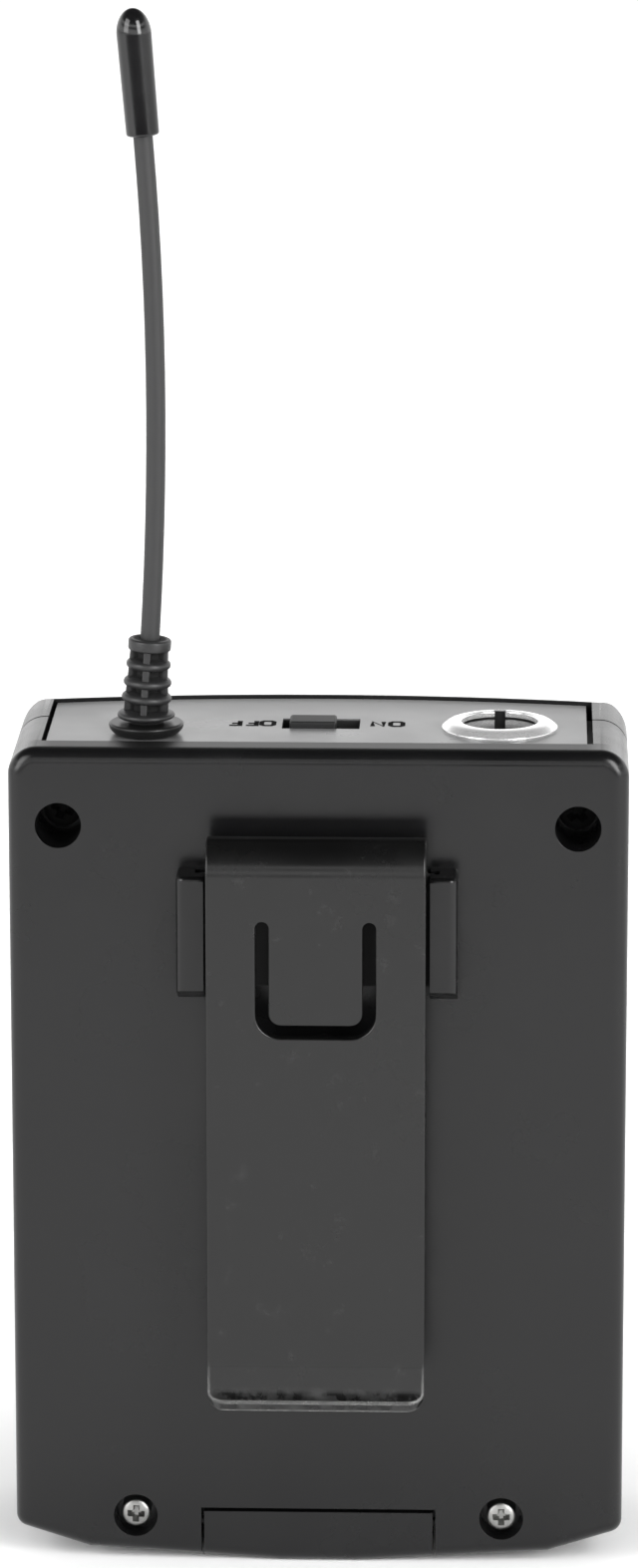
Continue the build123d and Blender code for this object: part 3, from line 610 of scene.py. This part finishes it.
def cross_screws(name, node, slot, centres, head_r, face_y, head_t, length, turns):
    """Domed heads with a tapered cross recess, on plain shanks, facing out of the back."""
    profile = [(0, face_y + length), (0.6, face_y + length), (1.0, face_y + length - 0.6), (1.0, face_y + head_t)]
    profile += [(head_r * 0.97, face_y + head_t), (head_r, face_y + head_t - 0.1), (head_r, face_y + 0.42)]
    profile += [(head_r * math.cos(math.radians(a)) ** 0.75, face_y + 0.42 - 0.42 * math.sin(math.radians(a)))
                for a in range(12, 90, 13)] + [(0, face_y)]
    joined = bmesh.new()
    for (x, z), turn in zip(centres, turns):
        to_place = Matrix.Translation((x, 0, z)) @ Matrix.Rotation(math.radians(-90), 4, "X")
        solid = bmesh.new()
        lathe(solid, profile, segments=40)
        bmesh.ops.recalc_face_normals(solid, faces=solid.faces)
        head = scrap_object("head", solid)
        cutters = []
        for quarter in (0, 90):
            cutter_bm = bmesh.new()
            corners = [(0.3 * head_r, 0.13 * head_r, 0.95), (0.72 * head_r, 0.25 * head_r, -0.3)]
            rings = [[cutter_bm.verts.new((sx * lx, sy * ly, face_y + lz))
                      for sx, sy in ((1, 1), (-1, 1), (-1, -1), (1, -1))] for lx, ly, lz in corners]
            cutter_bm.faces.new(rings[0])
            cutter_bm.faces.new(rings[1])
            for i in range(4):
                cutter_bm.faces.new((rings[0][i - 1], rings[0][i], rings[1][i], rings[1][i - 1]))
            bmesh.ops.recalc_face_normals(cutter_bm, faces=cutter_bm.faces)
            cutter_bm.transform(Matrix.Rotation(math.radians(turn + quarter), 4, "Z"))
            cutter = scrap_object("cutter", cutter_bm)
            cutters.append(cutter)
            cut = head.modifiers.new("cross", "BOOLEAN")
            cut.object, cut.operation, cut.solver = cutter, "DIFFERENCE", "EXACT"
        result = bpy.data.meshes.new_from_object(head.evaluated_get(bpy.context.evaluated_depsgraph_get()))
        result.transform(to_place)
        joined.from_mesh(result)
        for ob in [head, *cutters]:
            bpy.data.objects.remove(ob)
        bpy.data.meshes.remove(result)
    return piece(name, joined, slot, "case", (node,), sharp=30.0)


cross_screws("lower_case_screws", "case_screws_lower", "screw_steel", ((-19.6, 5.2), (19.6, 5.2)), 1.55, 0.5,
             3.05, 9.5, (3, 0))
cross_screws("upper_case_screws", "case_screws_upper", "clip_steel", ((-27.2, 81.5), (27.2, 81.5)), 2.05, 7.5,
             1.65, 10.0, (20, 50))

# ---------------------------------------------------------------- printed switch marks
MARK_Y, MARK_H, STROKE, INK = 14.1, 2.0, 0.52, 0.02
LETTERS = {
    "O": (True, [(0.3, 0), (1.0, 0), (1.3, 0.35), (1.3, 1.65), (1.0, 2.0), (0.3, 2.0), (0.0, 1.65), (0.0, 0.35)]),
    "F": (False, [[(0.1, 0), (0.1, 2.0), (1.2, 2.0)], [(0.1, 1.05), (0.95, 1.05)]]),
    "N": (False, [[(0.1, 0), (0.1, 2.0), (1.25, 0.0), (1.25, 2.0)]]),
}


def stroke(bm, points, closed):
    """Flat printed line of even width along its points."""
    count = len(points)
    rails = []
    for i, p in enumerate(points):
        here = Vector(p)
        before = Vector(points[i - 1]) if closed or i else here
        after = Vector(points[(i + 1) % count]) if closed or i < count - 1 else here
        d0 = (here - before).normalized() if before != here else (after - here).normalized()
        d1 = (after - here).normalized() if after != here else d0
        n0, n1 = Vector((-d0.y, d0.x)), Vector((-d1.y, d1.x))
        side = (n0 + n1) / max(0.5, 1.0 + n0.dot(n1)) * STROKE / 2
        rails.append((here + side, here - side))
    verts = [[bm.verts.new((q.x, q.y, h)) for q in pair for h in (0.0, INK)] for pair in rails]
    last = count if closed else count - 1
    for i in range(last):
        a, b = verts[i], verts[(i + 1) % count]
        for p, q in ((0, 1), (1, 3), (3, 2), (2, 0)):
            bm.faces.new((a[p], a[q], b[q], b[p]))
    if not closed:
        for end in (verts[0], verts[-1]):
            bm.faces.new((end[0], end[1], end[3], end[2]))


def printed(name, word, x_first, pitch):
    """A word that reads from the front of the case, so it is turned half round here."""
    bm = bmesh.new()
    for i, letter in enumerate(word):
        closed, lines = LETTERS[letter]
        for line in ([lines] if closed else lines):
            spot = x_first - i * pitch
            stroke(bm, [(spot - x, MARK_Y + MARK_H / 2 - y) for x, y in line], closed)
    bm.transform(Matrix.Translation((0, 0, PANEL_TOP)))
    ob = piece(name, bm, "chip_black", "case", sharp=20.0)
    ob.data.materials[0] = mark_ink
    return ob


printed("mark_off", "OFF", -5.1, 1.75)
printed("mark_on", "ON", 8.6, 1.95)

# ---------------------------------------------------------------- slide switch knob
KNOB_X, KNOB_Y, KNOB_W, KNOB_D, KNOB_PROUD = -0.92, 14.1, 4.95, 3.5, 0.6
KNOB_FOOT, KNOB_TOP = 84.8, PANEL_TOP + KNOB_PROUD
bm = bmesh.new()
bmesh.ops.create_cube(bm, size=1.0)
bm.transform(Matrix.Translation((KNOB_X, KNOB_Y, (KNOB_FOOT + KNOB_TOP) / 2))
             @ Matrix.Diagonal((KNOB_W, KNOB_D, KNOB_TOP - KNOB_FOOT, 1.0)))
bmesh.ops.bevel(bm, geom=[e for e in bm.edges if max(v.co.z for v in e.verts) > PANEL_TOP], offset=0.26,
                segments=3, profile=0.5, affect="EDGES")
piece("slide_switch_knob", bm, "knob_plastic", "switch_knob", ("switch_knob",), sharp=50.0)

# ---------------------------------------------------------------- softened edges on the moulded cases
for node_name, width in (("back_shell", 0.16), ("battery_door", 0.12), ("front_shell", 0.12)):
    ob = NODES[node_name]
    weld = ob.modifiers.new("join_facets", "WELD")
    weld.merge_threshold = 2e-6
    flat = ob.modifiers.new("join_flats", "DECIMATE")
    flat.decimate_type = "DISSOLVE"
    flat.angle_limit = math.radians(0.6)
    soft = ob.modifiers.new("moulded_edges", "BEVEL")
    soft.width = width * MM
    soft.segments = 2
    soft.limit_method = "ANGLE"
    soft.angle_limit = math.radians(38)
    soft.harden_normals = False
    even = ob.modifiers.new("even_shading", "WEIGHTED_NORMAL")
    even.keep_sharp = True

# ---------------------------------------------------------------- floor, sky and lamps
def sheet(name, mat, steps, half):
    """A flat sheet of the stage, half of its side in metres."""
    bm = bmesh.new()
    bmesh.ops.create_grid(bm, x_segments=steps, y_segments=steps, size=half)
    mesh = bpy.data.meshes.new(name)
    bm.to_mesh(mesh)
    bm.free()
    mesh.materials.append(mat)
    ob = bpy.data.objects.new(name, mesh)
    bpy.context.scene.collection.objects.link(ob)
    return ob


# the floor glows a little away from the pack, so that it is as white as the sky behind it
floor_mat, floor_tree, floor_shader = new_material("floor_paper")
floor_place = floor_tree.nodes.new("ShaderNodeTexCoord")
fibres = noise(floor_tree, floor_place.outputs["Object"], 400.0, 4.0)
floor_tree.links.new(mix_colour(floor_tree, fibres, grey(0.95), grey(0.98)), floor_shader.inputs["Base Color"])
floor_shader.inputs["Roughness"].default_value = 0.9
floor_shader.inputs["Emission Color"].default_value = (1.0, 1.0, 1.0, 1.0)
open_floor = axis_mask(floor_mat, 0.0, 12.0, 0.0, 0.0, 34.0, 62.0)
floor_tree.links.new(math_node(floor_tree, "MULTIPLY", open_floor, 0.32), floor_shader.inputs["Emission Strength"])
sheet("floor", floor_mat, 8, 6.0)

# black card on the floor in front, which only reflections see, as in a product studio
card_mat, _, card_shader = new_material("black_card")
card_shader.inputs["Base Color"].default_value = (*grey(0.01), 1.0)
card_shader.inputs["Roughness"].default_value = 0.9
card = sheet("black_card", card_mat, 4, 1.0)
card.location = (0, -1.5, 0.002)
card.visible_camera = card.visible_diffuse = card.visible_shadow = False

world = bpy.data.worlds.new("studio")
bpy.context.scene.world = world
world.use_nodes = True
sky = world.node_tree
sky_place = sky.nodes.new("ShaderNodeTexCoord")
sky_split = sky.nodes.new("ShaderNodeSeparateXYZ")
sky.links.new(sky_place.outputs["Generated"], sky_split.inputs["Vector"])
BACK_STOPS = ((0.0, 1.65), (0.30, 1.65), (0.52, 0.35), (0.75, 0.05), (1.0, 0.03))
FRONT_STOPS = ((0.0, 2.0), (0.18, 2.0), (0.25, 0.05), (0.33, 0.05),
               (0.37, 2.4), (0.44, 2.4), (0.48, 0.04), (1.0, 0.02))
FULL = 2.0


def sky_ramp(stops):
    """Brightness by height above the horizon."""
    ramp = sky.nodes.new("ShaderNodeValToRGB")
    elements = ramp.color_ramp.elements
    elements[0].position, elements[1].position = stops[0][0], stops[-1][0]
    for position, _ in stops[1:-1]:
        elements.new(position)
    for element, (position, level) in zip(elements, stops):
        element.position = position
        element.color = (*grey(level / FULL), 1.0)
    sky.links.new(sky_split.outputs["Z"], ramp.inputs["Fac"])
    return ramp.outputs["Color"]


backwards = remap(sky, sky_split.outputs["Y"], -0.3, 0.3, 0.0, 1.0)
sky_colour = mix_colour(sky, backwards, sky_ramp(FRONT_STOPS), sky_ramp(BACK_STOPS))
seen = sky.nodes.new("ShaderNodeLightPath").outputs["Is Camera Ray"]
sky.links.new(mix_colour(sky, seen, sky_colour, grey(0.6)), sky.nodes["Background"].inputs["Color"])
sky.nodes["Background"].inputs["Strength"].default_value = FULL


def lamp(name, azimuth, elevation, distance, width, height, power, glossy=True):
    """Softbox aimed at the pack. Azimuth 0 is the camera's side, 90 is to its right."""
    data = bpy.data.lights.new(name, "AREA")
    data.shape = "RECTANGLE"
    data.size, data.size_y = width, height
    data.energy = power
    ob = bpy.data.objects.new(name, data)
    bpy.context.scene.collection.objects.link(ob)
    az, el = math.radians(azimuth), math.radians(elevation)
    centre = at(0, 0, 90)
    ob.location = centre + distance * Vector(
        (math.sin(az) * math.cos(el), -math.cos(az) * math.cos(el), math.sin(el)))
    ob.rotation_euler = (centre - ob.location).to_track_quat("-Z", "Y").to_euler()
    ob.visible_glossy = glossy
    ob.visible_camera = False
    return ob


lamp("softbox_right", 40, 24, 1.5, 0.6, 1.15, 23)
lamp("softbox_left", -50, 24, 1.5, 0.85, 1.15, 15)
lamp("overhead", 0, 89, 4.5, 12.0, 12.0, 200, glossy=False)
bpy.context.scene.view_settings.view_transform = "Standard"
bpy.context.scene.view_settings.look = "None"
